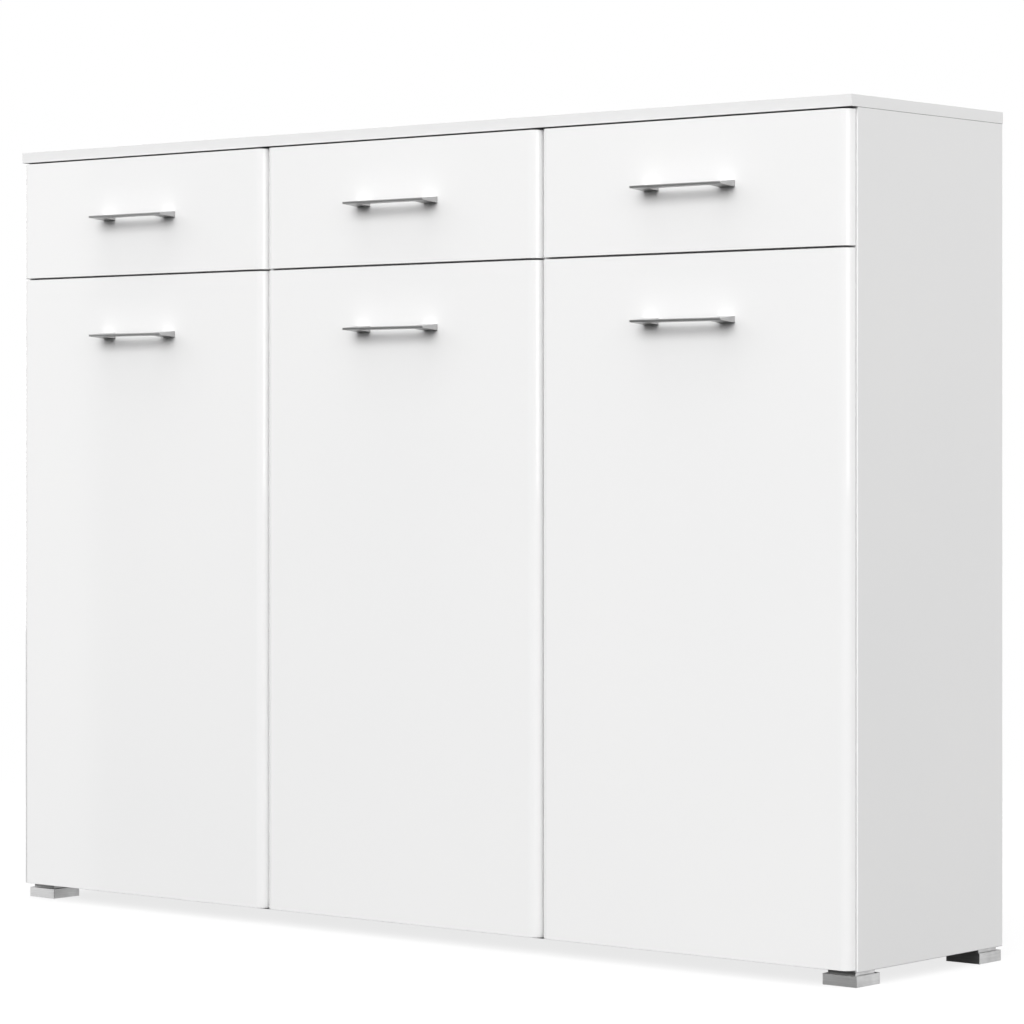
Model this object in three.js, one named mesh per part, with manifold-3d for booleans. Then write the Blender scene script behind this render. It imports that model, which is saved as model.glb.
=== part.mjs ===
// A tall sideboard: three drawers above three hinged doors, on four square corner feet.
// Millimetres. +X is to the right, the fronts face -Y, +Z is up and the feet stand on z = 0.
// The origin is under the middle of the whole object, handles included.
import * as THREE from "three";
import { mergeVertices } from "three/addons/utils/BufferGeometryUtils.js";
import Module from "manifold-3d";

// ---------------------------------------------------------------- driving dimensions

// The whole object
const WIDTH = 1570; // across the top
const HEIGHT = 1161; // floor to the top's upper face
const DEPTH = 365; // faces of the fronts to the top's back edge
const BOARD = 16; // every carcass board and every front

// Fronts: three columns, a drawer over a door in each
const FRONT_WIDTH = 519.5;
const COLUMN_GAP = 3.5; // between neighbouring fronts
const ROW_GAP = 2.75; // above and below a drawer front
const DRAWER_FRONT_HEIGHT = 177.75;
const DOOR_HEIGHT = 938.75;
const EDGE_RADIUS = 15; // the quarter round down each upright front edge
const FRONT_CLEARANCE = 1.5; // behind the fronts, to the carcass

// Carcass
const TOP_SETBACK = 3; // front edge of the top, behind the faces of the fronts
const TOP_OVERHANG = 1.5; // back edge of the top, past the side panels
const BACK_SHEET = 3;
const BACK_INSET = 10; // back sheet, in from the side panels' back edges
const GROOVE_DEPTH = 8.5;
const GROOVE_PLAY = 0.5; // groove wider and deeper than the sheet in it
const DIVIDER_TOP = 971; // upper face of the board under each drawer
const SHELVES_PER_BAY = 2;
const SHELF_SETBACK = 20; // shelf's front edge, behind the carcass front
const SHELF_SIDE_PLAY = 0.75;
const SHELF_BACK_PLAY = 5;

// Feet
const FOOT_SIZE = 54;
const FOOT_BLOCK_HEIGHT = 14.75;
const FOOT_PLATE_HEIGHT = 5.25;
const FOOT_PLATE_INSET = 5;
const FOOT_SIDE_INSET = 2.25; // outer side of each foot, in from the side panel's face

// Drawer boxes
const BOX_SIDE = 12; // thickness of the sides and the back
const BOX_LENGTH = 300; // behind the front
const BOX_HEIGHT = 120;
const BOX_LIFT = 20.5; // underside of the box, above the lower edge of the front
const RUNNER_SPACE = 12.5; // between a box side and the wall of its bay
const BOTTOM_SHEET = 3;
const BOTTOM_LIFT = 10; // drawer bottom, above the underside of the box
const BOX_GROOVE_DEPTH = 6;

// Handles: a flat bow that is thin at its outer edge and thicker at its feet
const HANDLE_LENGTH = 153.5;
const HANDLE_REACH = 32;
const HANDLE_FOOT = 25.5; // width of each foot
const HANDLE_BAR = 11; // depth of the bar between the feet
const HANDLE_OUTER_THICKNESS = 3;
const HANDLE_BASE_THICKNESS = 9;
const HANDLE_INNER_RADIUS = 4;
const HANDLE_OUTER_RADIUS = 1;
const HANDLE_DROP = 89.5; // centre of the handle, below the upper edge of its front

// Door hinges: a cup in the door, an arm on the bay wall, and a link between them
const HINGE_INSET = 100; // hinge centre, from the door's upper or lower edge
const CUP_RADIUS = 17.5;
const CUP_DEPTH = 11; // leaves a wall under the quarter round
const CUP_FROM_EDGE = 22.5; // centre of the cup, from the door's hinge-side edge
const LINK_PIN_FROM_EDGE = 18;
const LINK_PIN_AHEAD = 2; // link pin, in front of the carcass front
const LINK_PIN_RADIUS = 1.5;
const LINK_EYE_RADIUS = 3;
const LINK_EYE_BORE = 2;
const LINK_HALF_HEIGHT = 6;
const LINK_THICKNESS = 2;
const LINK_TIP = { x: 16.5, y: -6.5, radius: 2.2 }; // from the pin, with the door shut
const LINK_CHAMFER = 1; // where the link turns down towards its tip
const ARM_HALF_HEIGHT = 8;
const ARM_NOSE_RADIUS = 3.25;
const ARM_NEAR = 1; // the arm's side that faces the wall, from the wall
const ARM_FAR = 10; // its other side, from the wall
const ARM_CRANK = { front: 8, back: 20 }; // its sloping stretch, behind the carcass front
const ARM_BACK = 58; // its back end, behind the carcass front
const ARM_CHAMFER = 3;
const ARM_SLOT_PLAY = 0.25; // above and below the link
const ARM_SLOT_DEPTH = 6; // behind the link pin
const PIN_HOLD = 1; // the pin's length in each cheek of the arm
const PLATE = { thickness: 2.5, front: 28, back: 46, halfHeight: 24 }; // screwed to the wall

const ARC_SEGMENTS = 10; // for a quarter turn on the fronts
const ROUND_SEGMENTS = 32; // for a full turn
const WELD = 1e-4; // vertices closer than this are one
const PAST = 1; // how far a cutting shape runs past the surface it opens

// ---------------------------------------------------------------- derived places

const TOTAL_DEPTH = DEPTH + HANDLE_REACH;
const FRONT_Y = HANDLE_REACH - TOTAL_DEPTH / 2;
const TOP_BACK_Y = TOTAL_DEPTH / 2;
const CARCASS_FRONT_Y = FRONT_Y + BOARD + FRONT_CLEARANCE;
const CARCASS_BACK_Y = TOP_BACK_Y - TOP_OVERHANG;
const BACK_SHEET_BACK_Y = CARCASS_BACK_Y - BACK_INSET;
const BACK_SHEET_FRONT_Y = BACK_SHEET_BACK_Y - BACK_SHEET;

const SIDE_OUTER_X = WIDTH / 2;
const SIDE_INNER_X = SIDE_OUTER_X - BOARD;
const PITCH = FRONT_WIDTH + COLUMN_GAP;
const PARTITION_X = PITCH / 2;
const PARTITION_INNER_X = PARTITION_X - BOARD / 2;
const PARTITION_OUTER_X = PARTITION_X + BOARD / 2;

const CARCASS_BOTTOM_Z = FOOT_BLOCK_HEIGHT + FOOT_PLATE_HEIGHT;
const FLOOR_Z = CARCASS_BOTTOM_Z + BOARD; // upper face of the bottom board
const TOP_UNDERSIDE_Z = HEIGHT - BOARD;
const DRAWER_Z = TOP_UNDERSIDE_Z - ROW_GAP - DRAWER_FRONT_HEIGHT;
const DOOR_Z = DRAWER_Z - ROW_GAP - DOOR_HEIGHT;
const DIVIDER_UNDERSIDE_Z = DIVIDER_TOP - BOARD;

// Each bay runs from wallLeft to wallRight. hinge is -1 where its door hangs on the left wall.
const BAYS = [
  { name: "left", x: -PITCH, wallLeft: -SIDE_INNER_X, wallRight: -PARTITION_OUTER_X, hinge: -1 },
  { name: "middle", x: 0, wallLeft: -PARTITION_INNER_X, wallRight: PARTITION_INNER_X, hinge: -1 },
  { name: "right", x: PITCH, wallLeft: PARTITION_OUTER_X, wallRight: SIDE_INNER_X, hinge: 1 },
];

// ---------------------------------------------------------------- materials

function material(color, roughness, metalness) {
  return new THREE.MeshStandardMaterial({ color, roughness, metalness });
}

const glossWhite = () => material(0xf4f4f4, 0.12, 0);
const satinWhite = () => material(0xececec, 0.45, 0);
const boxWhite = () => material(0xe6e6e4, 0.6, 0);
const sheetWhite = () => material(0xe2e2e0, 0.7, 0);
const satinMetal = () => material(0xb4b6b8, 0.35, 0.9);
const brushedSteel = () => material(0xb9babb, 0.4, 0.9);
const nickel = () => material(0xc6c6c2, 0.3, 1);

// ---------------------------------------------------------------- solids

const manifold = await Module();
manifold.setup();

function solid(geometry) {
  const bare = geometry.index ? geometry.toNonIndexed() : geometry.clone();
  bare.deleteAttribute("normal");
  bare.deleteAttribute("uv");
  const merged = mergeVertices(bare, WELD);
  return new manifold.Manifold(
    new manifold.Mesh({
      numProp: 3,
      vertProperties: merged.attributes.position.array,
      triVerts: new Uint32Array(merged.index.array),
    }),
  );
}

function geometryOf(shape) {
  const { vertProperties, triVerts } = shape.getMesh();
  const indexed = new THREE.BufferGeometry();
  indexed.setAttribute("position", new THREE.BufferAttribute(vertProperties, 3));
  indexed.setIndex(new THREE.BufferAttribute(triVerts, 1));
  const flat = indexed.toNonIndexed();
  flat.computeVertexNormals();
  return flat;
}

function cut(geometry, tools) {
  const result = tools.reduce((rest, tool) => rest.subtract(solid(tool)), solid(geometry));
  return geometryOf(result);
}

function join(geometries) {
  const [first, ...others] = geometries;
  const result = others.reduce((whole, other) => whole.add(solid(other)), solid(first));
  return geometryOf(result);
}

function common(first, second) {
  return geometryOf(solid(first).intersect(solid(second)));
}

// Two limits, the lower one first
function span(a, b) {
  return [Math.min(a, b), Math.max(a, b)];
}

// A box from its limits along each axis
function block([x0, x1], [y0, y1], [z0, z1]) {
  const geometry = new THREE.BoxGeometry(x1 - x0, y1 - y0, z1 - z0);
  return geometry.translate((x0 + x1) / 2, (y0 + y1) / 2, (z0 + z1) / 2);
}

// A plan outline raised from z0 to z1
function raised(outline, z0, z1) {
  const options = { depth: z1 - z0, bevelEnabled: false, curveSegments: ARC_SEGMENTS };
  return new THREE.ExtrudeGeometry(outline, options).translate(0, 0, z0);
}

// A round bar along +Z
function upright(radius, halfHeight) {
  const bar = new THREE.CylinderGeometry(radius, radius, 2 * halfHeight, ROUND_SEGMENTS);
  return bar.rotateX(Math.PI / 2);
}

function mesh(name, geometry, finish) {
  const made = new THREE.Mesh(geometry, finish);
  made.name = name;
  return made;
}

// A plain board, placed by its centre
function board(name, [x0, x1], [y0, y1], [z0, z1], finish) {
  const made = mesh(name, new THREE.BoxGeometry(x1 - x0, y1 - y0, z1 - z0), finish);
  made.position.set((x0 + x1) / 2, (y0 + y1) / 2, (z0 + z1) / 2);
  return made;
}

// ---------------------------------------------------------------- carcass

const SPAN_Y = [CARCASS_FRONT_Y, CARCASS_BACK_Y];
const GROOVE_Y = [
  BACK_SHEET_FRONT_Y - GROOVE_PLAY / 2,
  BACK_SHEET_BACK_Y + GROOVE_PLAY / 2,
];

function sidePanel(name, hand) {
  const x = span(hand * SIDE_INNER_X, hand * SIDE_OUTER_X);
  const z = [CARCASS_BOTTOM_Z, TOP_UNDERSIDE_Z];
  const grooveX = span(hand * (SIDE_INNER_X - PAST), hand * (SIDE_INNER_X + GROOVE_DEPTH));
  const groove = block(grooveX, GROOVE_Y, [z[0] - PAST, z[1] + PAST]);
  return mesh(name, cut(block(x, SPAN_Y, z), [groove]), satinWhite());
}

function topPanel() {
  const x = [-SIDE_OUTER_X, SIDE_OUTER_X];
  const z = [TOP_UNDERSIDE_Z, HEIGHT];
  const panel = block(x, [FRONT_Y + TOP_SETBACK, TOP_BACK_Y], z);
  const reach = SIDE_INNER_X + GROOVE_DEPTH;
  const groove = block([-reach, reach], GROOVE_Y, [z[0] - PAST, z[0] + GROOVE_DEPTH]);
  return mesh("top_panel", cut(panel, [groove]), satinWhite());
}

function bottomPanel() {
  const x = [-SIDE_INNER_X, SIDE_INNER_X];
  const panel = block(x, SPAN_Y, [CARCASS_BOTTOM_Z, FLOOR_Z]);
  const grooveZ = [FLOOR_Z - GROOVE_DEPTH, FLOOR_Z + PAST];
  const groove = block([x[0] - PAST, x[1] + PAST], GROOVE_Y, grooveZ);
  return mesh("bottom_panel", cut(panel, [groove]), satinWhite());
}

function partition(name, x) {
  const spanX = [x - BOARD / 2, x + BOARD / 2];
  const spanY = [CARCASS_FRONT_Y, BACK_SHEET_FRONT_Y];
  return board(name, spanX, spanY, [FLOOR_Z, TOP_UNDERSIDE_Z], satinWhite());
}

function backPanel() {
  const depthInGroove = GROOVE_DEPTH - GROOVE_PLAY;
  const x = SIDE_INNER_X + depthInGroove;
  const z = [FLOOR_Z - depthInGroove, TOP_UNDERSIDE_Z + depthInGroove];
  return board("back_panel", [-x, x], [BACK_SHEET_FRONT_Y, BACK_SHEET_BACK_Y], z, sheetWhite());
}

function divider(bay) {
  const spanX = [bay.wallLeft, bay.wallRight];
  const spanY = [CARCASS_FRONT_Y, BACK_SHEET_FRONT_Y];
  const spanZ = [DIVIDER_UNDERSIDE_Z, DIVIDER_TOP];
  return board(`${bay.name}_divider`, spanX, spanY, spanZ, satinWhite());
}

// The shelves split the height behind a door into equal spaces.
function shelves(bay) {
  const free = DIVIDER_UNDERSIDE_Z - FLOOR_Z - SHELVES_PER_BAY * BOARD;
  const space = free / (SHELVES_PER_BAY + 1);
  const spanX = [bay.wallLeft + SHELF_SIDE_PLAY, bay.wallRight - SHELF_SIDE_PLAY];
  const spanY = [CARCASS_FRONT_Y + SHELF_SETBACK, BACK_SHEET_FRONT_Y - SHELF_BACK_PLAY];
  return ["lower", "upper"].map((level, index) => {
    const z = FLOOR_Z + space + index * (space + BOARD);
    return board(`${bay.name}_${level}_shelf`, spanX, spanY, [z, z + BOARD], satinWhite());
  });
}

// ---------------------------------------------------------------- feet

// A square block under a slightly smaller plate, which is screwed to the carcass
function foot(name, x, y) {
  const half = FOOT_SIZE / 2;
  const plateHalf = half - FOOT_PLATE_INSET;
  const blockZ = [0, FOOT_BLOCK_HEIGHT];
  const plateZ = [FOOT_BLOCK_HEIGHT, CARCASS_BOTTOM_Z];
  const around = (centre, reach) => [centre - reach, centre + reach];
  return [
    board(`${name}_foot`, around(x, half), around(y, half), blockZ, brushedSteel()),
    board(`${name}_foot_plate`, around(x, plateHalf), around(y, plateHalf), plateZ, brushedSteel()),
  ];
}

function feet() {
  const x = SIDE_OUTER_X - FOOT_SIDE_INSET - FOOT_SIZE / 2;
  const frontY = CARCASS_FRONT_Y + FOOT_SIZE / 2;
  const rearY = CARCASS_BACK_Y - FOOT_SIZE / 2;
  return [
    ...foot("front_left", -x, frontY),
    ...foot("front_right", x, frontY),
    ...foot("rear_left", -x, rearY),
    ...foot("rear_right", x, rearY),
  ];
}

// ---------------------------------------------------------------- fronts and handles

// A front lies in its own frame: y = 0 is its face, x = 0 its middle and z = 0 its lower edge.
function frontOutline() {
  const half = FRONT_WIDTH / 2;
  const centre = half - EDGE_RADIUS;
  const outline = new THREE.Shape();
  outline.moveTo(-half, BOARD);
  outline.lineTo(half, BOARD);
  outline.lineTo(half, EDGE_RADIUS);
  outline.absarc(centre, EDGE_RADIUS, EDGE_RADIUS, 0, -Math.PI / 2, true);
  outline.lineTo(-centre, 0);
  outline.absarc(-centre, EDGE_RADIUS, EDGE_RADIUS, -Math.PI / 2, -Math.PI, true);
  return outline;
}

function handleOutline() {
  const outer = HANDLE_LENGTH / 2;
  const inner = outer - HANDLE_FOOT;
  const barBack = HANDLE_BAR - HANDLE_REACH;
  const outerX = outer - HANDLE_OUTER_RADIUS;
  const outerY = HANDLE_OUTER_RADIUS - HANDLE_REACH;
  const innerX = inner - HANDLE_INNER_RADIUS;
  const innerY = barBack + HANDLE_INNER_RADIUS;
  const outline = new THREE.Shape();
  outline.moveTo(-inner, 0);
  outline.lineTo(-outer, 0);
  outline.absarc(-outerX, outerY, HANDLE_OUTER_RADIUS, Math.PI, 1.5 * Math.PI, false);
  outline.absarc(outerX, outerY, HANDLE_OUTER_RADIUS, 1.5 * Math.PI, 2 * Math.PI, false);
  outline.lineTo(outer, 0);
  outline.lineTo(inner, 0);
  outline.absarc(innerX, innerY, HANDLE_INNER_RADIUS, 0, -Math.PI / 2, true);
  outline.absarc(-innerX, innerY, HANDLE_INNER_RADIUS, -Math.PI / 2, -Math.PI, true);
  return outline;
}

// The wedge that gives the handle its taper, seen along X
function handleWedge() {
  const thin = HANDLE_OUTER_THICKNESS / 2;
  const thick = HANDLE_BASE_THICKNESS / 2;
  const outline = new THREE.Shape();
  outline.moveTo(0, -thick);
  outline.lineTo(0, thick);
  outline.lineTo(-HANDLE_REACH, thin);
  outline.lineTo(-HANDLE_REACH, -thin);
  const toSideView = new THREE.Matrix4().makeBasis(
    new THREE.Vector3(0, 1, 0),
    new THREE.Vector3(0, 0, 1),
    new THREE.Vector3(1, 0, 0),
  );
  return raised(outline, -HANDLE_LENGTH, HANDLE_LENGTH).applyMatrix4(toSideView);
}

function handle(name, frontHeight) {
  const bow = raised(handleOutline(), -HANDLE_BASE_THICKNESS, HANDLE_BASE_THICKNESS);
  const made = mesh(name, common(bow, handleWedge()), satinMetal());
  made.position.z = frontHeight - HANDLE_DROP;
  return made;
}

// ---------------------------------------------------------------- drawers

function drawer(bay) {
  const name = `${bay.name}_drawer`;
  const group = new THREE.Group();
  group.position.set(bay.x, FRONT_Y, DRAWER_Z);

  const outerLeft = bay.wallLeft + RUNNER_SPACE - bay.x;
  const outerRight = bay.wallRight - RUNNER_SPACE - bay.x;
  const innerLeft = outerLeft + BOX_SIDE;
  const innerRight = outerRight - BOX_SIDE;
  const boxFront = BOARD;
  const boxBack = BOARD + BOX_LENGTH;
  const backFront = boxBack - BOX_SIDE;
  const boxZ = [BOX_LIFT, BOX_LIFT + BOX_HEIGHT];

  const sheetZ = [BOX_LIFT + BOTTOM_LIFT, BOX_LIFT + BOTTOM_LIFT + BOTTOM_SHEET];
  const inGroove = BOX_GROOVE_DEPTH - GROOVE_PLAY;
  const sheetX = [innerLeft - inGroove, innerRight + inGroove];
  const sheetY = [boxFront - inGroove, backFront + inGroove];
  const groove = block(
    [innerLeft - BOX_GROOVE_DEPTH, innerRight + BOX_GROOVE_DEPTH],
    [boxFront - BOX_GROOVE_DEPTH, backFront + BOX_GROOVE_DEPTH],
    [sheetZ[0] - GROOVE_PLAY / 2, sheetZ[1] + GROOVE_PLAY / 2],
  );

  const front = raised(frontOutline(), 0, DRAWER_FRONT_HEIGHT);
  const sideY = [boxFront, boxBack];
  const leftSide = block([outerLeft, innerLeft], sideY, boxZ);
  const rightSide = block([innerRight, outerRight], sideY, boxZ);
  const back = block([innerLeft, innerRight], [backFront, boxBack], boxZ);
  group.add(
    mesh(`${name}_front`, cut(front, [groove]), glossWhite()),
    mesh(`${name}_left_side`, cut(leftSide, [groove]), boxWhite()),
    mesh(`${name}_right_side`, cut(rightSide, [groove]), boxWhite()),
    mesh(`${name}_back`, cut(back, [groove]), boxWhite()),
    board(`${name}_bottom`, sheetX, sheetY, sheetZ, sheetWhite()),
    handle(`${name}_handle`, DRAWER_FRONT_HEIGHT),
  );
  return group;
}

// ---------------------------------------------------------------- doors and hinges

const HINGE_HEIGHTS = [
  { level: "lower", z: HINGE_INSET },
  { level: "upper", z: DOOR_HEIGHT - HINGE_INSET },
];

function door(bay) {
  const group = new THREE.Group();
  group.position.set(bay.x, FRONT_Y, DOOR_Z);
  const cupX = bay.hinge * (FRONT_WIDTH / 2 - CUP_FROM_EDGE);
  const floorY = BOARD - CUP_DEPTH;
  const cups = HINGE_HEIGHTS.map(({ z }) => {
    const length = CUP_DEPTH + PAST;
    const pocket = new THREE.CylinderGeometry(CUP_RADIUS, CUP_RADIUS, length, ROUND_SEGMENTS);
    return pocket.translate(cupX, floorY + length / 2, z);
  });
  const panel = cut(raised(frontOutline(), 0, DOOR_HEIGHT), cups);
  group.add(
    mesh(`${bay.name}_door_panel`, panel, glossWhite()),
    handle(`${bay.name}_door_handle`, DOOR_HEIGHT),
  );
  return group;
}

// Hinge pieces lie in a frame with its origin at the link pin, and x runs from the wall into the
// bay. inward is +1 on a left wall and -1 on a right wall.
function arm(name, inward, wallDistance) {
  const at = (x, y) => [inward * x, y];
  const wall = -wallDistance;
  const front = LINK_PIN_AHEAD; // y of the carcass front
  const nose = ARM_NOSE_RADIUS;
  const outline = new THREE.Shape();
  outline.moveTo(...at(-nose, 0));
  outline.lineTo(...at(-nose, front + ARM_CRANK.front));
  outline.lineTo(...at(wall + ARM_NEAR, front + ARM_CRANK.back));
  outline.lineTo(...at(wall + ARM_NEAR, front + ARM_BACK));
  outline.lineTo(...at(wall + ARM_FAR - ARM_CHAMFER, front + ARM_BACK));
  outline.lineTo(...at(wall + ARM_FAR, front + ARM_BACK - ARM_CHAMFER));
  outline.lineTo(...at(wall + ARM_FAR, front + ARM_CRANK.back));
  outline.lineTo(...at(nose, front + ARM_CRANK.front));
  outline.lineTo(...at(nose, 0));
  const body = raised(outline, -ARM_HALF_HEIGHT, ARM_HALF_HEIGHT);
  const tip = upright(nose, ARM_HALF_HEIGHT);
  const plateX = span(inward * wall, inward * (wall + PLATE.thickness));
  const plateY = [front + PLATE.front, front + PLATE.back];
  const plate = block(plateX, plateY, [-PLATE.halfHeight, PLATE.halfHeight]);
  const slotHalf = LINK_HALF_HEIGHT + ARM_SLOT_PLAY;
  const slotX = [-nose - PAST, nose + PAST];
  const slot = block(slotX, [-nose - PAST, ARM_SLOT_DEPTH], [-slotHalf, slotHalf]);
  const forked = cut(join([body, tip, plate]), [slot]);
  const pin = upright(LINK_PIN_RADIUS, slotHalf + PIN_HOLD);
  return mesh(name, join([forked, pin]), nickel());
}

function link(name, inward) {
  const at = (x, y) => [inward * x, y];
  const half = LINK_THICKNESS / 2;
  const { x, y, radius } = LINK_TIP;
  const turn = half - radius - LINK_CHAMFER;
  const outline = new THREE.Shape();
  outline.moveTo(...at(0, half));
  outline.lineTo(...at(x - LINK_CHAMFER, half));
  outline.lineTo(...at(x + radius, turn));
  outline.lineTo(...at(x + radius, y));
  outline.lineTo(...at(x - radius, y));
  outline.lineTo(...at(x - radius, -half));
  outline.lineTo(...at(0, -half));
  const neck = raised(outline, -LINK_HALF_HEIGHT, LINK_HALF_HEIGHT);
  const eye = upright(LINK_EYE_RADIUS, LINK_HALF_HEIGHT);
  const tip = upright(radius, LINK_HALF_HEIGHT).translate(inward * x, y, 0);
  const bore = upright(LINK_EYE_BORE, LINK_HALF_HEIGHT + PAST);
  return mesh(name, cut(join([neck, eye, tip]), [bore]), nickel());
}

function hinges(bay) {
  const wallX = bay.hinge < 0 ? bay.wallLeft : bay.wallRight;
  const doorEdgeX = bay.x + (bay.hinge * FRONT_WIDTH) / 2;
  const inward = -bay.hinge;
  const pinX = doorEdgeX + inward * LINK_PIN_FROM_EDGE;
  const wallDistance = Math.abs(pinX - wallX);
  return HINGE_HEIGHTS.map(({ level, z }) => {
    const group = new THREE.Group();
    group.position.set(pinX, CARCASS_FRONT_Y - LINK_PIN_AHEAD, DOOR_Z + z);
    group.add(
      arm(`${bay.name}_${level}_hinge_arm`, inward, wallDistance),
      link(`${bay.name}_${level}_hinge_link`, inward),
    );
    return group;
  });
}

// ---------------------------------------------------------------- the sideboard

const sideboard = new THREE.Group();
sideboard.name = "sideboard";
sideboard.add(
  topPanel(),
  bottomPanel(),
  sidePanel("left_side_panel", -1),
  sidePanel("right_side_panel", 1),
  partition("left_partition", -PARTITION_X),
  partition("right_partition", PARTITION_X),
  backPanel(),
  ...feet(),
);
for (const bay of BAYS) {
  sideboard.add(divider(bay), ...shelves(bay), drawer(bay), door(bay), ...hinges(bay));
}

export default sideboard;
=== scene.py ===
"""A tall white sideboard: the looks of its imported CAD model, and the hardware too small for CAD.

Lengths are in metres. The front faces -Y and up is +Z.
"""

import math

import bmesh
import bpy
from mathutils import Matrix, Vector


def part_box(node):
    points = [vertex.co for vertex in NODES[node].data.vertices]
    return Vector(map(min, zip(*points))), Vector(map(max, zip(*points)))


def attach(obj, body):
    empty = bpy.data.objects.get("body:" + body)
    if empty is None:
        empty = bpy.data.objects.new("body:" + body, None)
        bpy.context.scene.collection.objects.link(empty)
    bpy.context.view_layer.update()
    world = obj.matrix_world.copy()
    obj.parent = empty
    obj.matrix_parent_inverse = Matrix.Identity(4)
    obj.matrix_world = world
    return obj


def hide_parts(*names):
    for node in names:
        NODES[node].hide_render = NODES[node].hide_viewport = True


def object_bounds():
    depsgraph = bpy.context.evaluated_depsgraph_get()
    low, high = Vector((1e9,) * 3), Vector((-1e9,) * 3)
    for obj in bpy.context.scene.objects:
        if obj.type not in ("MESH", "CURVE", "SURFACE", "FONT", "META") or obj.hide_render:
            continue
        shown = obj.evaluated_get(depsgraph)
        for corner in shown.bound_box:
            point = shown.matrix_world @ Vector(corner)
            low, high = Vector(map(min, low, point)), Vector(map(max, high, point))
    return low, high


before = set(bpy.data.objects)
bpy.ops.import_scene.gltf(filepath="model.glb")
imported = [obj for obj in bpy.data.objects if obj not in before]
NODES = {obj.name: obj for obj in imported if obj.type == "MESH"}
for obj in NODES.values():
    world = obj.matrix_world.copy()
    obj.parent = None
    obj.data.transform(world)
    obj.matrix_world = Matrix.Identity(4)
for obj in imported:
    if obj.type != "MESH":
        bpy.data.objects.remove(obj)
CAD_LOW, CAD_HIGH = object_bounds()
for plain in list(bpy.data.materials):
    bpy.data.materials.remove(plain)

MM = 0.001
BAYS = ("left", "middle", "right")
LEVELS = ("lower", "upper")

# ---------------------------------------------------------------- camera, light and floor

CAMERA_PLACE = Vector((3.601, -4.2161, 0.706))
CAMERA_TURN = math.radians(39.908)  # left of straight on
CAMERA_LENS = 133.375
CAMERA_SHIFT = -0.0658  # the horizon lies above the middle of the picture

AMBIENT = (0.0, 0.85)  # what the studio gives from below and from above
HORIZON = (-0.1, 0.45)  # height of a direction where the one turns into the other
FLOOR_RADIUS = 3.0
FLOOR_FADE = (1.3, 2.8)  # where the floor starts and ends its fade into the white room
FLOOR_GLOW = 0.8  # how much of the floor's white is its own light


def make_camera():
    data = bpy.data.cameras.new("camera")
    data.sensor_width = 36
    data.lens = CAMERA_LENS
    data.shift_y = CAMERA_SHIFT
    data.clip_start = 0.1
    data.clip_end = 100
    camera = bpy.data.objects.new("camera", data)
    camera.location = CAMERA_PLACE
    camera.rotation_euler = (math.radians(90), 0, CAMERA_TURN)
    bpy.context.scene.collection.objects.link(camera)
    bpy.context.scene.camera = camera


def softbox(name, place, target, size, radiance, only=None):
    """A lamp at place, facing target, as bright as radiance all over.

    It lights everything, or, where a collection is given as only, just what is in it.
    """
    width, height = size
    data = bpy.data.lights.new(name, "AREA")
    data.shape = "RECTANGLE"
    data.size = width
    data.size_y = height
    data.energy = radiance * math.pi * width * height
    lamp = bpy.data.objects.new(name, data)
    lamp.location = place
    lamp.rotation_euler = (Vector(target) - Vector(place)).to_track_quat("-Z", "Y").to_euler()
    lamp.visible_camera = False
    lamp.light_linking.receiver_collection = only
    bpy.context.scene.collection.objects.link(lamp)


def light_the_studio():
    middle = (CAD_LOW + CAD_HIGH) / 2
    softbox("key", (5.2, -20.0, 11.0), middle, (18.0, 10.0), 6.0)
    softbox("overhead", (0, -1.0, 9.0), middle, (7.0, 5.0), 1.5)
    softbox("right_front", (10.5, -6.6, 3.4), middle, (7.0, 6.0), 2.45)
    softbox("right_high", (9.5, 2.5, 6.5), middle, (5.0, 4.0), 3.3)
    softbox("right_back", (6.5, 8.2, 1.0), middle, (8.0, 7.0), 1.05)
    softbox("left_panel", (-6.2, -3.02, 1.4), (-1.87, 1.13, 1.4), (3.6, 5.0), 0.5)
    softbox("left_back", (-9.5, 3.4, 2.4), middle, (6.0, 5.0), 1.6)
    softbox("left_high", (-6.6, -3.4, 4.6), (-0.8, 0, 0.3), (4.0, 4.2), 1.5)
    light_the_feet()


def group(title, start, end):
    """A collection of the CAD nodes whose names have this start and end."""
    made = bpy.data.collections.new(title)
    for name in NODES:
        if name.startswith(start) and name.endswith(end):
            made.objects.link(NODES[name])
    return made


def light_the_feet():
    """Cards of light below the floor, which stand in for its reflection in the metal of the feet."""
    feet = group("feet", "", "_foot")
    front_feet = group("front_feet", "front_", "_foot")
    softbox("foot_card", (-6.1, -6.3, -0.9), (0, 0, 0), (3.4, 2.6), 1.5, front_feet)
    softbox("foot_card_front", (4.9, -7.4, -1.0), (0, 0, 0), (4.5, 2.6), 1.0, front_feet)
    softbox("foot_card_back", (-4.9, 7.4, -1.0), (0, 0, 0), (6.5, 2.6), 1.0, feet)


def make_world():
    """A white room: plain white to look at, and dimmer as a light, most of all from below."""
    world = bpy.data.worlds.new("studio")
    world.use_nodes = True
    tree = world.node_tree
    tree.nodes.clear()
    direction = node(tree, "TexCoord").outputs["Generated"]
    height = node(tree, "SeparateXYZ", {0: direction}).outputs["Z"]
    strength = between(tree, height, AMBIENT[0], AMBIENT[1], HORIZON)
    room = node(tree, "Background", {"Color": (1, 1, 1, 1), "Strength": strength})
    seen = node(tree, "Background", {"Color": (1, 1, 1, 1), "Strength": 1.0})
    ray = node(tree, "LightPath")
    mix = node(tree, "MixShader", {0: ray.outputs["Is Camera Ray"], 1: room.outputs[0], 2: seen.outputs[0]})
    node(tree, "OutputWorld", {"Surface": mix.outputs[0]})
    bpy.context.scene.world = world


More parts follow.
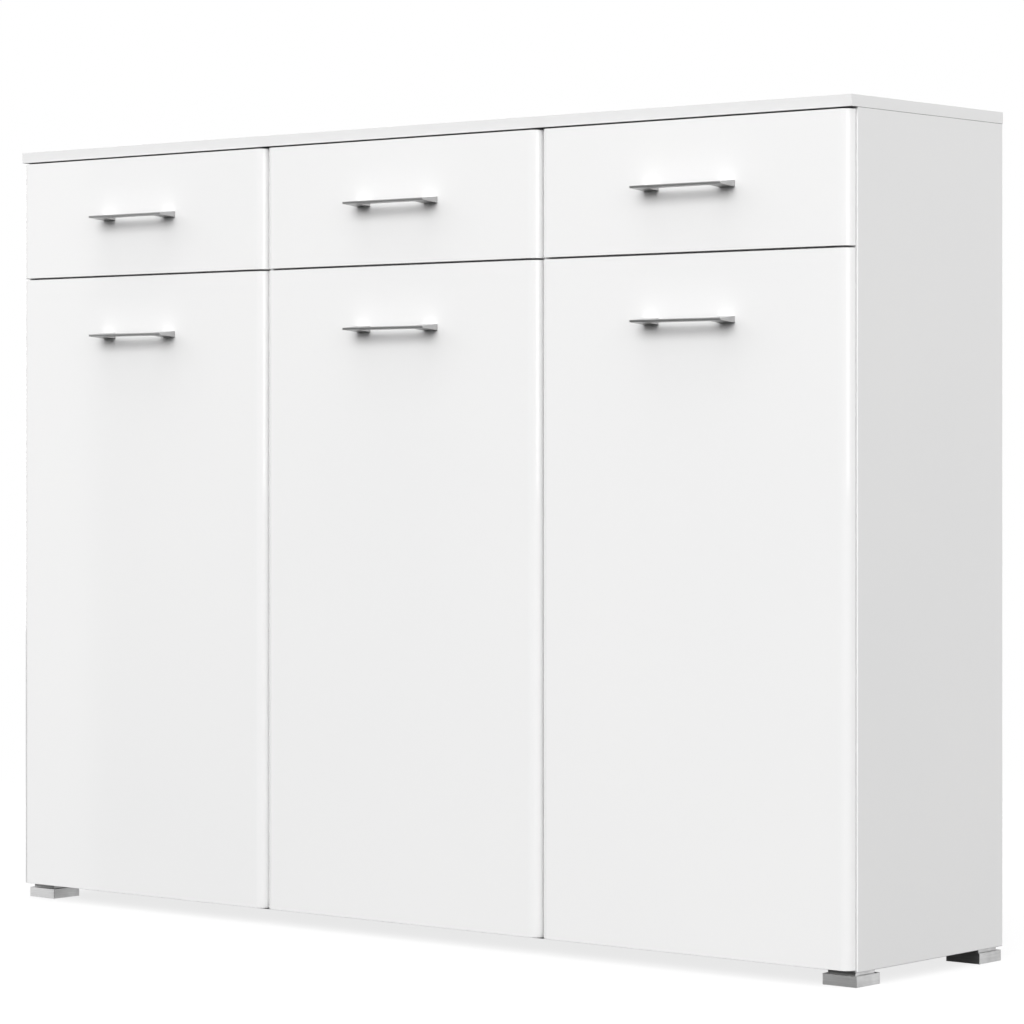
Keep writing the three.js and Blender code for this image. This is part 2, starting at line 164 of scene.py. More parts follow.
def make_floor():
    bm = bmesh.new()
    bmesh.ops.create_circle(bm, cap_ends=True, segments=96, radius=FLOOR_RADIUS)
    floor = object_from(bm, "studio_floor")
    floor.data.materials.append(floor_material())
    floor.visible_diffuse = False
    floor.visible_glossy = False
    floor.visible_shadow = False


# ---------------------------------------------------------------- node trees


def node(tree, kind, inputs=(), **settings):
    """A new shader node. inputs gives each named or numbered socket a value, or an output to link to it."""
    made = tree.nodes.new("ShaderNode" + kind)
    for name, value in settings.items():
        setattr(made, name, value)
    for name, value in dict(inputs).items():
        socket = made.inputs[name]
        if isinstance(value, bpy.types.NodeSocket):
            tree.links.new(value, socket)
        else:
            socket.default_value = value
    return made


def grey(value, warmth=0.0):
    """A grey, made warmer or cooler by a small part of itself."""
    return (value * (1 + warmth), value, value * (1 - warmth), 1)


def start_material(name, inputs):
    """A material with one Principled shader. Returns the material, its tree and the shader."""
    material = bpy.data.materials.new(name)
    material.use_nodes = True
    tree = material.node_tree
    shader = tree.nodes["Principled BSDF"]
    for socket, value in inputs.items():
        shader.inputs[socket].default_value = value
    return material, tree, shader


def place(tree, stretch=(1, 1, 1)):
    """The point in the object's own frame, with each axis scaled by stretch."""
    point = node(tree, "TexCoord").outputs["Object"]
    return node(tree, "Mapping", {"Vector": point, "Scale": stretch}).outputs[0]


def noise(tree, scale, stretch=(1, 1, 1), detail=2.0, roughness=0.5):
    """A cloudy value from 0 to 1 that repeats about scale times a metre."""
    inputs = {"Vector": place(tree, stretch), "Scale": scale, "Detail": detail, "Roughness": roughness}
    return node(tree, "TexNoise", inputs).outputs["Fac"]


def between(tree, factor, low, high, window=(0.3, 0.7)):
    """A value that runs from low to high as factor runs through window."""
    inputs = {"Value": factor, 1: window[0], 2: window[1], 3: low, 4: high}
    return node(tree, "MapRange", inputs).outputs[0]


def mixed(tree, factor, first, second):
    """A colour between first and second."""
    return node(tree, "Mix", {0: factor, 6: first, 7: second}, data_type="RGBA").outputs[2]


def painted_shade_where_closed(tree, colour, reach, window):
    """A colour that falls off to a dark grey of painted shade where surfaces less than reach away close it
    in.
    """
    openness = node(tree, "AmbientOcclusion", {"Distance": reach}, samples=8).outputs["AO"]
    return mixed(tree, between(tree, openness, 0.0, 1.0, window), grey(PAINTED_SHADE_TONE), colour)


def bump(tree, shader, height, distance):
    """Raises the surface by up to distance metres where height is 1."""
    raised = node(tree, "Bump", {"Height": height, "Distance": distance, "Strength": 1.0}).outputs[0]
    tree.links.new(raised, shader.inputs["Normal"])
    return raised


# ---------------------------------------------------------------- materials

GAP_REACH = 8 * MM  # how far off another surface still paints shade into a gap
GAP_WINDOW = (0.0, 0.16)  # the open part of the sky at which a gap is darkest, and at which it is clear
SEAM_REACH = 1.2 * MM  # the same two for the painted shade in the hairline where two boards meet
SEAM_WINDOW = (0.5, 0.98)
PAINTED_SHADE_TONE = 0.06  # the dark grey of both painted shades


def floor_material():
    """A pale matt floor with a faint glow, which fades out at its rim, so that it ends nowhere in view."""
    material = bpy.data.materials.new("pale_floor")
    material.use_nodes = True
    tree = material.node_tree
    tree.nodes.clear()
    matt = node(tree, "BsdfDiffuse", {"Color": grey(0.93)})
    glow = node(tree, "Emission", {"Color": (1, 1, 1, 1), "Strength": 1.0})
    lit = node(tree, "MixShader", {0: FLOOR_GLOW, 1: matt.outputs[0], 2: glow.outputs[0]})
    clear = node(tree, "BsdfTransparent")
    reach = node(tree, "VectorMath", {0: place(tree)}, operation="LENGTH").outputs["Value"]
    fade = node(tree, "MapRange", {"Value": reach, 1: FLOOR_FADE[0], 2: FLOOR_FADE[1], 3: 0.0, 4: 1.0},
                interpolation_type="SMOOTHSTEP")
    mix = node(tree, "MixShader", {0: fade.outputs[0], 1: lit.outputs[0], 2: clear.outputs[0]})
    node(tree, "OutputMaterial", {"Surface": mix.outputs[0]})
    return material


def gloss_material():
    """White lacquered foil: a clear coat with a faint orange peel over an even white, with painted shade in
    its narrow gaps and contacts.
    """
    material, tree, shader = start_material(
        "gloss_front",
        {
            "Roughness": 0.22,
            "Specular IOR Level": 0.05,
            "Coat Weight": 1.0,
            "Coat Roughness": 0.05,
            "Coat IOR": 1.5,
        },
    )
    cloud = between(tree, noise(tree, 2.2, detail=3), 0.0, 1.0)
    foil = mixed(tree, cloud, grey(0.893), grey(0.905, 0.002))
    # painted shade: the white turns dark grey where gaps and contacts close it in
    tree.links.new(painted_shade_where_closed(tree, foil, GAP_REACH, GAP_WINDOW), shader.inputs["Base Color"])
    peel = noise(tree, 170, detail=1.5)
    raised = bump(tree, shader, peel, 0.0000022)
    tree.links.new(raised, shader.inputs["Coat Normal"])
    return material


def satin_material(name, front_painted_light_tone, painted_under_shade_tone):
    """White melamine with a fine pearl grain, painted light on faces to the front, painted shade on faces
    down, and painted shade in gaps and hairline seams.
    """
    material, tree, shader = start_material(name, {"Specular IOR Level": 0.45})
    cloud = between(tree, noise(tree, 3.1, detail=4), 0.0, 1.0)
    board = mixed(tree, cloud, grey(0.795), grey(0.806, 0.003))
    normal = node(tree, "TexCoord").outputs["Normal"]
    facing = node(tree, "SeparateXYZ", {0: normal})
    # painted light: faces that face the front take a lighter tone
    front_painted_light = between(tree, facing.outputs["Y"], 1.0, 0.0, (-0.97, -0.8))
    # painted shade: faces that face down are picked out here and turned a darker grey, as shade under the
    # boards; they are the same melamine
    foil = between(tree, facing.outputs["Z"], 1.0, 0.0, (-0.97, -0.8))
    front_lit = mixed(tree, front_painted_light, board, grey(front_painted_light_tone))
    wrapped = mixed(tree, foil, front_lit, grey(painted_under_shade_tone))
    # painted shade: dark grey in hairline seams, then in narrow gaps
    seam_shaded = painted_shade_where_closed(tree, wrapped, SEAM_REACH, SEAM_WINDOW)
    tree.links.new(painted_shade_where_closed(tree, seam_shaded, GAP_REACH, GAP_WINDOW), shader.inputs["Base Color"])
    pearl = noise(tree, 900, detail=2.5)
    tree.links.new(between(tree, pearl, 0.37, 0.47), shader.inputs["Roughness"])
    bump(tree, shader, pearl, 0.000012)
    return material


def drawer_board_material():
    """Foil-wrapped drawer board, with a faint linen weave pressed into the foil."""
    material, tree, shader = start_material("drawer_board", {"Specular IOR Level": 0.4})
    along = noise(tree, 60, (1, 0.12, 9), detail=3)
    across = noise(tree, 60, (9, 9, 0.8), detail=3)
    weave = node(tree, "Math", {0: along, 1: across}, operation="ADD").outputs[0]
    shade = between(tree, weave, 0.0, 1.0, (0.75, 1.25))
    tree.links.new(mixed(tree, shade, grey(0.775, 0.006), grey(0.815, 0.006)), shader.inputs["Base Color"])
    tree.links.new(between(tree, shade, 0.5, 0.62, (0, 1)), shader.inputs["Roughness"])
    bump(tree, shader, weave, 0.00002)
    return material


def hardboard_material():
    """Thin hardboard with a white coat, through which its pressed fibres show."""
    material, tree, shader = start_material("hardboard", {"Specular IOR Level": 0.3})
    fibres = noise(tree, 420, (1, 1, 0.35), detail=5, roughness=0.65)
    cloud = noise(tree, 5, detail=4)
    both = node(tree, "Math", {0: fibres, 1: cloud}, operation="ADD").outputs[0]
    shade = between(tree, both, 0.0, 1.0, (0.75, 1.25))
    tree.links.new(mixed(tree, shade, grey(0.73, 0.012), grey(0.785, 0.008)), shader.inputs["Base Color"])
    tree.links.new(between(tree, fibres, 0.55, 0.75), shader.inputs["Roughness"])
    bump(tree, shader, fibres, 0.00004)
    return material


def brushed_material(name, dark, light, roughness, grain, depth, warmth=0.0, stretch=(0.02, 1, 1)):
    """Brushed metal: fine lines in its colour, its roughness and its surface.

    stretch is least along the lines.
    """
    material, tree, shader = start_material(name, {"Metallic": 1.0})
    lines = noise(tree, grain, stretch, detail=4, roughness=0.7)
    cloud = noise(tree, 35, (0.3, 1, 1), detail=2)
    both = node(tree, "Math", {0: lines, 1: cloud}, operation="ADD").outputs[0]
    shade = between(tree, both, 0.0, 1.0, (0.7, 1.3))
    tree.links.new(mixed(tree, shade, grey(dark, warmth), grey(light, warmth)), shader.inputs["Base Color"])
    tree.links.new(between(tree, lines, roughness[0], roughness[1]), shader.inputs["Roughness"])
    bump(tree, shader, lines, depth)
    return material


def enamel_material():
    """Baked enamel on rolled steel: a soft gloss over slightly wavy metal."""
    material, tree, shader = start_material("runner_enamel", {"Specular IOR Level": 0.5})
    cloud = between(tree, noise(tree, 40, (1, 0.2, 1), detail=3), 0.0, 1.0)
    tree.links.new(mixed(tree, cloud, grey(0.74, 0.004), grey(0.79, 0.004)), shader.inputs["Base Color"])
    grain = noise(tree, 1400, detail=2)
    tree.links.new(between(tree, grain, 0.28, 0.4), shader.inputs["Roughness"])
    bump(tree, shader, grain, 0.00001)
    return material


def plastic_material():
    """Moulded white plastic with a fine spark-eroded texture."""
    material, tree, shader = start_material(
        "white_plastic",
        {"Specular IOR Level": 0.5, "Subsurface Weight": 0.08, "Subsurface Scale": 0.002},
    )
    cloud = between(tree, noise(tree, 90, detail=3), 0.0, 1.0)
    tree.links.new(mixed(tree, cloud, grey(0.76, 0.008), grey(0.8, 0.008)), shader.inputs["Base Color"])
    texture = noise(tree, 2600, detail=3)
    tree.links.new(between(tree, texture, 0.42, 0.55), shader.inputs["Roughness"])
    bump(tree, shader, texture, 0.00001)
    return material


GLOSS = gloss_material()
# the second value is painted light on faces to the front, the third painted shade on faces down
SATIN = satin_material("satin_board", 0.95, 0.78)
# painted shade: the top's underside is much darker
SATIN_TOP = satin_material("satin_top", 0.8, 0.45)
DRAWER_BOARD = drawer_board_material()
HARDBOARD = hardboard_material()
SATIN_METAL = brushed_material("satin_metal", 0.43, 0.54, (0.28, 0.38), 2600, 0.000004)
BRUSHED_STEEL = brushed_material(
    "brushed_steel", 0.5, 0.76, (0.28, 0.42), 700, 0.00005, stretch=(0.02, 0.02, 1)
)
NICKEL = brushed_material("hinge_nickel", 0.60, 0.70, (0.18, 0.30), 700, 0.000003, warmth=0.02)
ENAMEL = enamel_material()
PLASTIC = plastic_material()

# ---------------------------------------------------------------- meshes

SHARP_BEND = math.radians(32)  # a bend from which an edge looks sharp
EDGE_STEPS = 4  # faces round a rounded rim
ROUND_STEPS = 32  # faces round a full turn


def arc(centre, radius, start, end, steps):
    """Points round part of a circle, from one angle in degrees to another."""
    points = []
    for step in range(steps + 1):
        angle = math.radians(start + (end - start) * step / steps)
        points.append(Vector(centre) + radius * Vector((math.cos(angle), math.sin(angle))))
    return points


def inset(outline, distance):
    """A counterclockwise outline moved inwards by distance."""
    moved = []
    for index, point in enumerate(outline):
        before = (point - outline[index - 1]).normalized()
        after = (outline[(index + 1) % len(outline)] - point).normalized()
        side = Vector((-before.y, before.x))
        inwards = (side + Vector((-after.y, after.x))).normalized()
        moved.append(point + inwards * distance / inwards.dot(side))
    return moved


def join_rings(bm, lower, upper):
    """Faces between two rings of as many points, or between a ring and a single point."""
    count = max(len(lower), len(upper))
    for index in range(count):
        after = (index + 1) % count
        corners = [lower[index % len(lower)], lower[after % len(lower)]]
        corners += [upper[after % len(upper)], upper[index % len(upper)]]
        bm.faces.new(list(dict.fromkeys(corners)))


def prism(bm, outline, low, high, edge, matrix=Matrix.Identity(4)):
    """Adds a solid with a counterclockwise outline, from low to high along Z, with rims rounded by edge."""
    levels = []
    for step in range(EDGE_STEPS + 1):
        angle = math.pi / 2 * step / EDGE_STEPS
        levels.append((edge * (1 - math.sin(angle)), edge * (1 - math.cos(angle))))
    rings = [(inwards, low + rise) for inwards, rise in levels]
    rings += [(inwards, high - rise) for inwards, rise in reversed(levels)]
    loops = []
    for inwards, z in rings:
        loop = []
        for point in inset(outline, inwards):
            loop.append(bm.verts.new(matrix @ Vector((point.x, point.y, z))))
        loops.append(loop)
    for lower, upper in zip(loops, loops[1:]):
        join_rings(bm, lower, upper)
    bm.faces.new(list(reversed(loops[0])))
    bm.faces.new(loops[-1])


def turn(bm, rings, matrix, steps=ROUND_STEPS):
    """Adds a solid turned about Z. A ring is a radius, or a function of the angle, and a height."""
    loops = []
    for radius, height in rings:
        loop = []
        for step in range(steps if radius else 1):
            angle = 2 * math.pi * step / steps
            reach = radius(angle) if callable(radius) else radius
            point = Vector((reach * math.cos(angle), reach * math.sin(angle), height))
            loop.append(bm.verts.new(matrix @ point))
        loops.append(loop)
    for lower, upper in zip(loops, loops[1:]):
        join_rings(bm, lower, upper)


def axes(origin, across, up, out):
    """The matrix that puts the local X, Y and Z axes along three directions at origin."""
    columns = [Vector(across), Vector(up), Vector(out)]
    turned = Matrix(columns).transposed().to_4x4()
    return Matrix.Translation(origin) @ turned


def object_from(bm, name):
    """A new object with the mesh in bm, whose faces are smooth up to a sharp bend."""
    bmesh.ops.recalc_face_normals(bm, faces=bm.faces)
    for face in bm.faces:
        face.smooth = True
    for edge in bm.edges:
        edge.smooth = len(edge.link_faces) == 2 and edge.calc_face_angle() < SHARP_BEND
    mesh = bpy.data.meshes.new(name)
    bm.to_mesh(mesh)
    bm.free()
    made = bpy.data.objects.new(name, mesh)
    bpy.context.scene.collection.objects.link(made)
    return made


def cut_out(part, cutter):
    """Takes the cutter's shape out of the part's mesh, and removes the cutter."""
    cut = part.modifiers.new("cut", "BOOLEAN")
    cut.object = cutter
    cut.solver = "EXACT"
    bpy.context.view_layer.update()
    shaped = part.evaluated_get(bpy.context.evaluated_depsgraph_get())
    mesh = bpy.data.meshes.new_from_object(shaped)
    part.modifiers.clear()
    part.data = mesh
    bpy.data.objects.remove(cutter)


def finish_piece(piece, material, body):
    """Gives a new piece its material and its body, and keeps its flats flat."""
    piece.data.materials.clear()
    piece.data.materials.append(material)
    shading = piece.modifiers.new("shading", "WEIGHTED_NORMAL")
    shading.keep_sharp = True
    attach(piece, body)


# ---------------------------------------------------------------- fronts

FRONT_RADIUS = 15 * MM  # down each upright front edge
FRONT_ROUND_STEPS = 24
FRONT_EDGE = 0.3 * MM
FRONT_BACK_EDGE = 0.5 * MM
CUP_RADIUS = 17.5 * MM
CUP_DEPTH = 11 * MM
CUP_FROM_EDGE = 22.5 * MM
POCKET_STEPS = 64
PAST = 1 * MM  # how far a cutting shape runs past the surface it opens


def front_outline(low, high):
    """The plan of a front: two large rounds at its face and two small ones at its back."""
    big = FRONT_RADIUS
    small = FRONT_BACK_EDGE
    return (
        arc((high.x - big, low.y + big), big, -90, 0, FRONT_ROUND_STEPS)
        + arc((high.x - small, high.y - small), small, 0, 90, EDGE_STEPS)
        + arc((low.x + small, high.y - small), small, 90, 180, EDGE_STEPS)
        + arc((low.x + big, low.y + big), big, 180, 270, FRONT_ROUND_STEPS)
    )


def front(node_name, body, cutter):
    """The lacquered front that stands for a CAD node, with the cutter's shape taken out of it."""
    low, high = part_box(node_name)
    bm = bmesh.new()
    prism(bm, front_outline(low, high), low.z, high.z, FRONT_EDGE)
    piece = object_from(bm, node_name + "_lacquered")
    cut_out(piece, cutter)
    finish_piece(piece, GLOSS, body)
    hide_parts(node_name)


def hinge_side(bay):
    """+1 where the bay's door hangs on its right wall, and -1 where it hangs on its left wall."""
    door_low, door_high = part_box(bay + "_door_panel")
    arm_low, arm_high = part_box(bay + "_lower_hinge_arm")
    return 1 if arm_low.x + arm_high.x > door_low.x + door_high.x else -1


def cup_centres(bay):
    """The middle of each hinge cup's mouth, on the back of the bay's door."""
    low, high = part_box(bay + "_door_panel")
    side = hinge_side(bay)
    x = high.x - CUP_FROM_EDGE if side > 0 else low.x + CUP_FROM_EDGE
    centres = []
    for level in LEVELS:
        arm_low, arm_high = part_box(f"{bay}_{level}_hinge_arm")
        centres.append(Vector((x, high.y, (arm_low.z + arm_high.z) / 2)))
    return centres


def cup_pockets(bay):
    """The pockets in the back of a door, for its hinge cups."""
    bm = bmesh.new()
    rings = ((0, -CUP_DEPTH), (CUP_RADIUS, -CUP_DEPTH), (CUP_RADIUS, PAST), (0, PAST))
    for centre in cup_centres(bay):
        turn(bm, rings, axes(centre, (1, 0, 0), (0, 0, -1), (0, 1, 0)), POCKET_STEPS)
    return object_from(bm, bay + "_pockets")


GROOVE_DEPTH = 6 * MM
GROOVE_PLAY = 0.25 * MM  # round the sheet in a groove


def bottom_groove(bay):
    """The groove in the back of a drawer's front, for its bottom sheet."""
    front_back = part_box(bay + "_drawer_front")[1].y
    low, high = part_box(bay + "_drawer_bottom")
    bm = bmesh.new()
    bmesh.ops.create_cube(bm, size=1)
    lower = Vector((low.x - 2 * GROOVE_PLAY, front_back - GROOVE_DEPTH, low.z - GROOVE_PLAY))
    upper = Vector((high.x + 2 * GROOVE_PLAY, front_back + PAST, high.z + GROOVE_PLAY))
    stretch = Matrix.Diagonal(upper - lower).to_4x4()
    shift = Matrix.Translation((lower + upper) / 2)
    bmesh.ops.transform(bm, verts=bm.verts, matrix=shift @ stretch)
    return object_from(bm, bay + "_groove")


def make_fronts():
    for bay in BAYS:
        front(bay + "_door_panel", bay + "_door", cup_pockets(bay))
        front(bay + "_drawer_front", bay + "_drawer", bottom_groove(bay))


# ---------------------------------------------------------------- screws and hinge cups

CROSS_ARM = 0.5  # of the head's radius
CROSS_WIDTH = 0.13

# Radius and height of each kind of screw head
CUP_SCREW = (3.6 * MM, 1.5 * MM)
PLATE_SCREW = (4 * MM, 2 * MM)
ARM_SCREW = (3.2 * MM, 1.2 * MM)
RUNNER_SCREW = (3.4 * MM, 1.2 * MM)
HANDLE_SCREW = (4.2 * MM, 2.4 * MM)
BACK_SCREW = (3.4 * MM, 1.1 * MM)


def screw_head(bm, point, out, size):
    """A domed head on the surface at point, with a cross recess. out is away from the surface."""
    radius, height = size

    def cross(angle):
        from_arm = abs((angle + math.pi / 4) % (math.pi / 2) - math.pi / 4)
        width = CROSS_WIDTH / max(math.sin(from_arm), CROSS_WIDTH / CROSS_ARM)
        return radius * width

    rings = (
        (0, 0),
        (radius, 0),
        (radius, 0.35 * height),
        (0.93 * radius, 0.62 * height),
        (0.72 * radius, 0.86 * height),
        (lambda angle: cross(angle) + 0.06 * radius, height),
        (cross, 0.97 * height),
        (lambda angle: 0.55 * cross(angle), 0.3 * height),
        (0, 0.15 * height),
    )
    direction = Vector(out)
    turned = direction.to_track_quat("Z", "Y").to_matrix().to_4x4()
    turn(bm, rings, Matrix.Translation(point) @ turned)


EAR_AHEAD = 9.5 * MM  # ear screws, further from the door's edge than the cup's centre
EAR_RISE = 22.5 * MM
FLANGE_DISCS = (
    (Vector((0, 0)), 20 * MM),
    (Vector((EAR_AHEAD, EAR_RISE)), 7.5 * MM),
    (Vector((EAR_AHEAD, -EAR_RISE)), 7.5 * MM),
)
FLANGE_EDGE = 17.5 * MM  # its straight side, from the cup's centre
FLANGE = 0.8 * MM
CUP_OUTER = 17.3 * MM
CUP_INNER = 16.5 * MM
CUP_FLOOR = 1.2 * MM
CUP_PLAY = 0.2 * MM  # between a cup and the floor of its pocket
CUP_ROUND = 2 * MM  # round its floor, inside
CUP_CHAMFER = 1 * MM  # round its floor, outside
CUP_STEPS = 96
FLANGE_ROUND = 0.25 * MM
FLANGE_LIFT = 0.02 * MM  # keeps the flange off the back of the door


def flange_reach(angle):
    """How far a hinge cup's flange reaches from the cup's centre: a hull round the cup and its ears."""
    towards_edge = -math.cos(angle)
    reach = FLANGE_EDGE / towards_edge if towards_edge > 0.01 else math.inf
    for degrees in range(-80, 81, 5):
        lean = math.radians(degrees)
        toward = Vector((math.cos(angle + lean), math.sin(angle + lean)))
        far = max(centre.dot(toward) + radius for centre, radius in FLANGE_DISCS)
        reach = min(reach, far / math.cos(lean))
    return reach


def hinge_cups():
    under = CUP_PLAY - CUP_DEPTH
    floor = under + CUP_FLOOR
    halfway = 0.3 * CUP_ROUND  # how far the middle of that round stands off the wall and the floor
    rings = (
        (0, floor),
        (CUP_INNER - CUP_ROUND, floor),
        (CUP_INNER - halfway, floor + halfway),
        (CUP_INNER, floor + CUP_ROUND),
        (CUP_INNER, FLANGE - FLANGE_ROUND),
        (CUP_INNER + FLANGE_ROUND, FLANGE),
        (lambda angle: flange_reach(angle) - FLANGE_ROUND, FLANGE),
        (flange_reach, FLANGE - FLANGE_ROUND),
        (flange_reach, FLANGE_LIFT),
        (CUP_OUTER, FLANGE_LIFT),
        (CUP_OUTER, under + CUP_CHAMFER),
        (CUP_OUTER - CUP_CHAMFER, under),
        (0, under),
    )
    for bay in BAYS:
        inwards = -hinge_side(bay)
        screws = bmesh.new()
        for level, centre in zip(LEVELS, cup_centres(bay)):
            bm = bmesh.new()
            turn(bm, rings, axes(centre, (inwards, 0, 0), (0, 0, 1), (0, 1, 0)), CUP_STEPS)
            finish_piece(object_from(bm, f"{bay}_{level}_hinge_cup"), NICKEL, bay + "_door")
            for rise in (-EAR_RISE, EAR_RISE):
                point = centre + Vector((inwards * EAR_AHEAD, FLANGE, rise))
                screw_head(screws, point, (0, 1, 0), CUP_SCREW)
        finish_piece(object_from(screws, bay + "_hinge_cup_screws"), NICKEL, bay + "_door")


PLATE_SCREW_RISE = 17.5 * MM
PLATE_THICKNESS = 2.5 * MM
PLATE_SCREW_AHEAD = 21 * MM  # of the arm's back end
ARM_SCREWS_AHEAD = (10 * MM, 30 * MM)
ARM_HEIGHT = 10 * MM  # from the wall


def hinge_arm_screws():
    """Two screws hold each hinge plate to the wall, and two more adjust the arm on it."""
    for bay in BAYS:
        side = hinge_side(bay)
        bm = bmesh.new()
        for level in LEVELS:
            low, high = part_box(f"{bay}_{level}_hinge_arm")
            middle = (low.z + high.z) / 2
            wall = high.x if side > 0 else low.x
            for rise in (-PLATE_SCREW_RISE, PLATE_SCREW_RISE):
                point = Vector((wall - side * PLATE_THICKNESS, high.y - PLATE_SCREW_AHEAD, middle + rise))
                screw_head(bm, point, (-side, 0, 0), PLATE_SCREW)
            for ahead in ARM_SCREWS_AHEAD:
                point = Vector((wall - side * ARM_HEIGHT, high.y - ahead, middle))
                screw_head(bm, point, (-side, 0, 0), ARM_SCREW)
        finish_piece(object_from(bm, bay + "_hinge_arm_screws"), NICKEL, "carcass")


# ---------------------------------------------------------------- drawer runners

RUNNER_EDGE = 0.3 * MM


def section(*points):
    """A cross-section from points in millimetres."""
    return [Vector(point) * MM for point in points]


# Cross-sections of rolled steel, across from the wall and up from the drawer's lower edge
CABINET_PROFILE = section(
    (0, -13.5), (10.5, -13.5), (10.5, -12.3), (1.2, -12.3), (1.2, 10.8), (8, 10.8), (8, 12), (0, 12)
)
DRAWER_PROFILE = section(
    (11.3, -1.3), (22, -1.3), (22, -0.1), (12.45, -0.1), (12.45, 2.3), (3, 2.3), (3, 1.1), (11.3, 1.1)
)
HANGER_PROFILE = section((9.4, -10), (10.6, -10), (10.6, 1.2), (9.4, 1.2))  # it holds the rear roller
HANGER = (-13 * MM, -1 * MM)  # where it starts and ends, from the drawer's back
RUNNER_SETBACK = 2 * MM  # of the cabinet runner, behind the front of the divider
RUNNER_END = 0.5 * MM  # how far its back end passes the drawer, and how far the drawer's runner stops short
RUNNER_SCREW_RISE = -3 * MM
RUNNER_SCREWS = (-110 * MM, 20 * MM, 125 * MM)  # their places from front to back
RUNNER_STEEL = 1.2 * MM

# Radius and width of a roller, then its place: from the wall, along, and up
FRONT_ROLLER = (6 * MM, 6 * MM)
FRONT_ROLLER_PLACE = (2 * MM, 6 * MM, -5 * MM)
REAR_ROLLER = (5.4 * MM, 5.5 * MM)
REAR_ROLLER_PLACE = (3 * MM, -6.5 * MM, -6.8 * MM)


def roller(bm, centre, across, size):
    """A roller with a rounded tread on a steel axle. centre is the middle of its face nearer the wall."""
    radius, width = size
    shoulder = 0.7 * MM
    recess = 0.4 * MM
    rings = (
        (0, recess),
        (0.55 * radius, recess),
        (0.6 * radius, 0),
        (radius - shoulder, 0),
        (radius, shoulder),
        (radius, width - shoulder),
        (radius - shoulder, width),
        (0.6 * radius, width),
        (0.55 * radius, width - recess),
        (0.3 * radius, width - recess),
        (0.28 * radius, width + 0.5 * MM),
        (0, width + 0.6 * MM),
    )
    turned = Vector(across).to_track_quat("Z", "Y").to_matrix().to_4x4()
    turn(bm, rings, Matrix.Translation(centre) @ turned)


def runner_pair(bay, side, wall, inwards):
    """The runner on one wall of a bay and the one on the drawer's side, each with its roller."""
    divider_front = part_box(bay + "_divider")[0].y
    box_low, box_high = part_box(bay + "_drawer_left_side")
    start = Vector((wall, 0, box_low.z))
    along = axes(start, (inwards, 0, 0), (0, 0, 1), (0, 1, 0))
    across = (inwards, 0, 0)

    bm = bmesh.new()
    prism(bm, CABINET_PROFILE, divider_front + RUNNER_SETBACK, box_high.y + RUNNER_END, RUNNER_EDGE, along)
    for y in RUNNER_SCREWS:
        point = start + Vector((inwards * RUNNER_STEEL, y, RUNNER_SCREW_RISE))
        screw_head(bm, point, across, RUNNER_SCREW)
    finish_piece(object_from(bm, f"{bay}_{side}_cabinet_runner"), ENAMEL, "carcass")

    bm = bmesh.new()
    out, behind, rise = FRONT_ROLLER_PLACE
    roller(bm, start + Vector((inwards * out, divider_front + behind, rise)), across, FRONT_ROLLER)
    finish_piece(object_from(bm, f"{bay}_{side}_front_roller"), PLASTIC, "carcass")

    bm = bmesh.new()
    prism(bm, DRAWER_PROFILE, box_low.y + RUNNER_END, box_high.y - RUNNER_END, RUNNER_EDGE, along)
    prism(bm, HANGER_PROFILE, box_high.y + HANGER[0], box_high.y + HANGER[1], RUNNER_EDGE, along)
    finish_piece(object_from(bm, f"{bay}_{side}_drawer_runner"), ENAMEL, bay + "_drawer")

    bm = bmesh.new()
    out, behind, rise = REAR_ROLLER_PLACE
    roller(bm, start + Vector((inwards * out, box_high.y + behind, rise)), across, REAR_ROLLER)
    finish_piece(object_from(bm, f"{bay}_{side}_rear_roller"), PLASTIC, bay + "_drawer")


def runners():
    for bay in BAYS:
        low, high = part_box(bay + "_divider")
        runner_pair(bay, "left", low.x, 1)
        runner_pair(bay, "right", high.x, -1)


# ---------------------------------------------------------------- small fittings

PIN_RADIUS = 2.5 * MM
PIN_LENGTH = 8.6 * MM
PIN_TIP = 0.6 * MM  # the chamfer at its end
PIN_COLLAR = 4 * MM  # radius of the collar against the wall
PIN_FROM_END = 37 * MM  # of the shelf
PIN_PLAY = 0.02 * MM  # under the shelf


def shelf_pins():
    """Four pins under each shelf, with a thin collar against the wall."""
    rings = (
        (0, 0),
        (PIN_COLLAR, 0),
        (PIN_COLLAR, 0.5 * MM),
        (PIN_RADIUS, 0.6 * MM),
        (PIN_RADIUS, PIN_LENGTH - PIN_TIP),
        (PIN_RADIUS - PIN_TIP, PIN_LENGTH),
        (0, PIN_LENGTH),
    )
    for bay in BAYS:
        wall_low, wall_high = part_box(bay + "_divider")
        bm = bmesh.new()
        for level in LEVELS:
            low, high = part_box(f"{bay}_{level}_shelf")
            z = low.z - PIN_RADIUS - PIN_PLAY
            for y in (low.y + PIN_FROM_END, high.y - PIN_FROM_END):
                for x, inwards in ((wall_low.x, 1), (wall_high.x, -1)):
                    turn(bm, rings, axes(Vector((x, y, z)), (0, 0, 1), (0, inwards, 0), (inwards, 0, 0)))
        finish_piece(object_from(bm, bay + "_shelf_pins"), NICKEL, "carcass")


COVER_RADIUS = 9 * MM
COVER_THICKNESS = 0.9 * MM
COVER_RIM = 1.6 * MM
COVER_DIP = 0.2 * MM  # of its middle below its rim
COVER_FROM_SIDE = 34 * MM
COVER_FROM_END = 50 * MM


